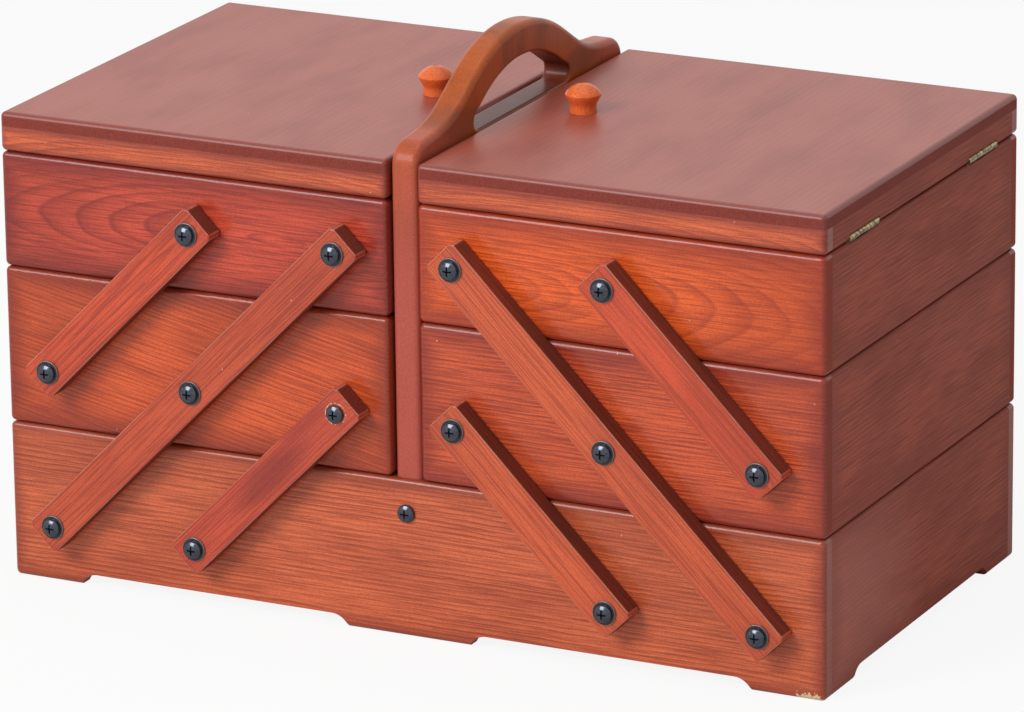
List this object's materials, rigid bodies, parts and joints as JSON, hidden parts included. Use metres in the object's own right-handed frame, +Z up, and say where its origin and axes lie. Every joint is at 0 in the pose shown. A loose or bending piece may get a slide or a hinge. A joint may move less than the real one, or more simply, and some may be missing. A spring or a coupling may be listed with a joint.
{
  "type": "sewing box",
  "caption": "Wooden three-tier cantilever sewing box with trays that swing out on arms, two hinged lids with knobs and an arched carrying handle.",
  "frame": {"origin": "on the floor under the middle of the box's footprint, arms included", "axes": "+X along the front towards the right-hand trays, front face towards -Y, +Z up"},
  "size_m": [0.441, 0.2636, 0.279],
  "materials": {
    "front_wood": "mahogany stain, semi-gloss lacquer",
    "end_wood": "mahogany stain, semi-gloss lacquer",
    "lid_wood": "mahogany stain, semi-gloss lacquer",
    "lid_rail_wood": "mahogany stain, semi-gloss lacquer",
    "arm_wood": "mahogany stain, semi-gloss lacquer",
    "handle_wood": "smooth brown stain, semi-gloss lacquer",
    "knob_wood": "turned, orange stain, gloss lacquer",
    "plywood": "plain plywood",
    "black_screw": "black gloss",
    "hinge_brass": "aged brass"
  },
  "bodies": {
    "base": {"base_back_panel": "front_wood", "base_bottom_panel": "plywood", "base_end_panels": "end_wood", "base_front_panel": "front_wood", "base_screws_and_washers": "black_screw", "handle_frame": "handle_wood"},
    "left_mid_tray": {"left_mid_tray_back": "front_wood", "left_mid_tray_bottom": "plywood", "left_mid_tray_ends": "end_wood", "left_mid_tray_front": "front_wood", "left_mid_tray_screws_and_washers": "black_screw"},
    "left_top_tray": {"left_top_tray_back": "front_wood", "left_top_tray_bottom": "plywood", "left_top_tray_front": "front_wood", "left_top_tray_inner_end": "end_wood", "left_top_tray_outer_end": "end_wood", "left_top_tray_screws_and_washers": "black_screw", "left_hinge_tray_leaves": "hinge_brass", "left_hinge_pins": "hinge_brass", "left_hinge_tray_screws": "hinge_brass"},
    "left_lid": {"left_lid_inner_rail": "lid_rail_wood", "left_lid_long_rails": "lid_rail_wood", "left_lid_outer_rail": "lid_rail_wood", "left_lid_panel": "lid_wood", "left_knob": "knob_wood", "left_hinge_lid_leaves": "hinge_brass", "left_hinge_lid_screws": "hinge_brass"},
    "left_front_long_arm": {"left_front_long_arm": "arm_wood"},
    "left_front_lower_arm": {"left_front_lower_arm": "arm_wood"},
    "left_front_upper_arm": {"left_front_upper_arm": "arm_wood"},
    "left_back_long_arm": {"left_back_long_arm": "arm_wood"},
    "left_back_lower_arm": {"left_back_lower_arm": "arm_wood"},
    "left_back_upper_arm": {"left_back_upper_arm": "arm_wood"},
    "right_mid_tray": {"right_mid_tray_back": "front_wood", "right_mid_tray_bottom": "plywood", "right_mid_tray_ends": "end_wood", "right_mid_tray_front": "front_wood", "right_mid_tray_screws_and_washers": "black_screw"},
    "right_top_tray": {"right_top_tray_back": "front_wood", "right_top_tray_bottom": "plywood", "right_top_tray_front": "front_wood", "right_top_tray_inner_end": "end_wood", "right_top_tray_outer_end": "end_wood", "right_top_tray_screws_and_washers": "black_screw", "right_hinge_tray_leaves": "hinge_brass", "right_hinge_pins": "hinge_brass", "right_hinge_tray_screws": "hinge_brass"},
    "right_lid": {"right_lid_inner_rail": "lid_rail_wood", "right_lid_long_rails": "lid_rail_wood", "right_lid_outer_rail": "lid_rail_wood", "right_lid_panel": "lid_wood", "right_knob": "knob_wood", "right_hinge_lid_leaves": "hinge_brass", "right_hinge_lid_screws": "hinge_brass"},
    "right_front_long_arm": {"right_front_long_arm": "arm_wood"},
    "right_front_lower_arm": {"right_front_lower_arm": "arm_wood"},
    "right_front_upper_arm": {"right_front_upper_arm": "arm_wood"},
    "right_back_long_arm": {"right_back_long_arm": "arm_wood"},
    "right_back_lower_arm": {"right_back_lower_arm": "arm_wood"},
    "right_back_upper_arm": {"right_back_upper_arm": "arm_wood"}
  },
  "joints": [
    {"name": "left_linkage", "type": "hinge", "parent": "base", "child": "left_front_long_arm", "pos_m": [-0.1905, -0.1222, 0.0325], "axis": [0, -1, 0], "range_deg": [0, 89.54]},
    {"name": "left_mid_tray_pivot", "type": "hinge", "parent": "left_front_long_arm", "child": "left_mid_tray", "pos_m": [-0.111, -0.1222, 0.1125], "axis": [0, -1, 0], "range_deg": [-89.54, 0]},
    {"name": "left_top_tray_pivot", "type": "hinge", "parent": "left_front_long_arm", "child": "left_top_tray", "pos_m": [-0.0315, -0.1222, 0.1925], "axis": [0, -1, 0], "range_deg": [-89.54, 0]},
    {"name": "left_back_long_arm_pivot", "type": "hinge", "parent": "base", "child": "left_back_long_arm", "pos_m": [-0.1905, 0.1222, 0.0325], "axis": [0, -1, 0], "range_deg": [0, 89.54]},
    {"name": "left_front_lower_arm_pivot", "type": "hinge", "parent": "base", "child": "left_front_lower_arm", "pos_m": [-0.111, -0.1222, 0.0325], "axis": [0, -1, 0], "range_deg": [0, 89.54]},
    {"name": "left_front_upper_arm_pivot", "type": "hinge", "parent": "left_mid_tray", "child": "left_front_upper_arm", "pos_m": [-0.1905, -0.1222, 0.1125], "axis": [0, -1, 0], "range_deg": [0, 89.54]},
    {"name": "left_back_lower_arm_pivot", "type": "hinge", "parent": "base", "child": "left_back_lower_arm", "pos_m": [-0.111, 0.1222, 0.0325], "axis": [0, -1, 0], "range_deg": [0, 89.54]},
    {"name": "left_back_upper_arm_pivot", "type": "hinge", "parent": "left_mid_tray", "child": "left_back_upper_arm", "pos_m": [-0.1905, 0.1222, 0.1125], "axis": [0, -1, 0], "range_deg": [0, 89.54]},
    {"name": "left_lid_hinge", "type": "hinge", "parent": "left_top_tray", "child": "left_lid", "pos_m": [-0.2188, 0, 0.22], "axis": [0, -1, 0], "range_deg": [0, 105]},
    {"name": "right_linkage", "type": "hinge", "parent": "base", "child": "right_front_long_arm", "pos_m": [0.1905, -0.1222, 0.0325], "axis": [0, 1, 0], "range_deg": [0, 89.54]},
    {"name": "right_mid_tray_pivot", "type": "hinge", "parent": "right_front_long_arm", "child": "right_mid_tray", "pos_m": [0.111, -0.1222, 0.1125], "axis": [0, 1, 0], "range_deg": [-89.54, 0]},
    {"name": "right_top_tray_pivot", "type": "hinge", "parent": "right_front_long_arm", "child": "right_top_tray", "pos_m": [0.0315, -0.1222, 0.1925], "axis": [0, 1, 0], "range_deg": [-89.54, 0]},
    {"name": "right_back_long_arm_pivot", "type": "hinge", "parent": "base", "child": "right_back_long_arm", "pos_m": [0.1905, 0.1222, 0.0325], "axis": [0, 1, 0], "range_deg": [0, 89.54]},
    {"name": "right_front_lower_arm_pivot", "type": "hinge", "parent": "base", "child": "right_front_lower_arm", "pos_m": [0.111, -0.1222, 0.0325], "axis": [0, 1, 0], "range_deg": [0, 89.54]},
    {"name": "right_front_upper_arm_pivot", "type": "hinge", "parent": "right_mid_tray", "child": "right_front_upper_arm", "pos_m": [0.1905, -0.1222, 0.1125], "axis": [0, 1, 0], "range_deg": [0, 89.54]},
    {"name": "right_back_lower_arm_pivot", "type": "hinge", "parent": "base", "child": "right_back_lower_arm", "pos_m": [0.111, 0.1222, 0.0325], "axis": [0, 1, 0], "range_deg": [0, 89.54]},
    {"name": "right_back_upper_arm_pivot", "type": "hinge", "parent": "right_mid_tray", "child": "right_back_upper_arm", "pos_m": [0.1905, 0.1222, 0.1125], "axis": [0, 1, 0], "range_deg": [0, 89.54]},
    {"name": "right_lid_hinge", "type": "hinge", "parent": "right_top_tray", "child": "right_lid", "pos_m": [0.2188, 0, 0.22], "axis": [0, 1, 0], "range_deg": [0, 105]}
  ],
  "couplings": [
    {"joint": "left_mid_tray_pivot", "follows": "left_linkage", "ratio": -1},
    {"joint": "left_top_tray_pivot", "follows": "left_linkage", "ratio": -1},
    {"joint": "left_back_long_arm_pivot", "follows": "left_linkage", "ratio": 1},
    {"joint": "left_front_lower_arm_pivot", "follows": "left_linkage", "ratio": 1},
    {"joint": "left_back_lower_arm_pivot", "follows": "left_linkage", "ratio": 1},
    {"joint": "left_front_upper_arm_pivot", "follows": "left_linkage", "ratio": 1},
    {"joint": "left_back_upper_arm_pivot", "follows": "left_linkage", "ratio": 1},
    {"joint": "right_mid_tray_pivot", "follows": "right_linkage", "ratio": -1},
    {"joint": "right_top_tray_pivot", "follows": "right_linkage", "ratio": -1},
    {"joint": "right_back_long_arm_pivot", "follows": "right_linkage", "ratio": 1},
    {"joint": "right_front_lower_arm_pivot", "follows": "right_linkage", "ratio": 1},
    {"joint": "right_back_lower_arm_pivot", "follows": "right_linkage", "ratio": 1},
    {"joint": "right_front_upper_arm_pivot", "follows": "right_linkage", "ratio": 1},
    {"joint": "right_back_upper_arm_pivot", "follows": "right_linkage", "ratio": 1}
  ]
}
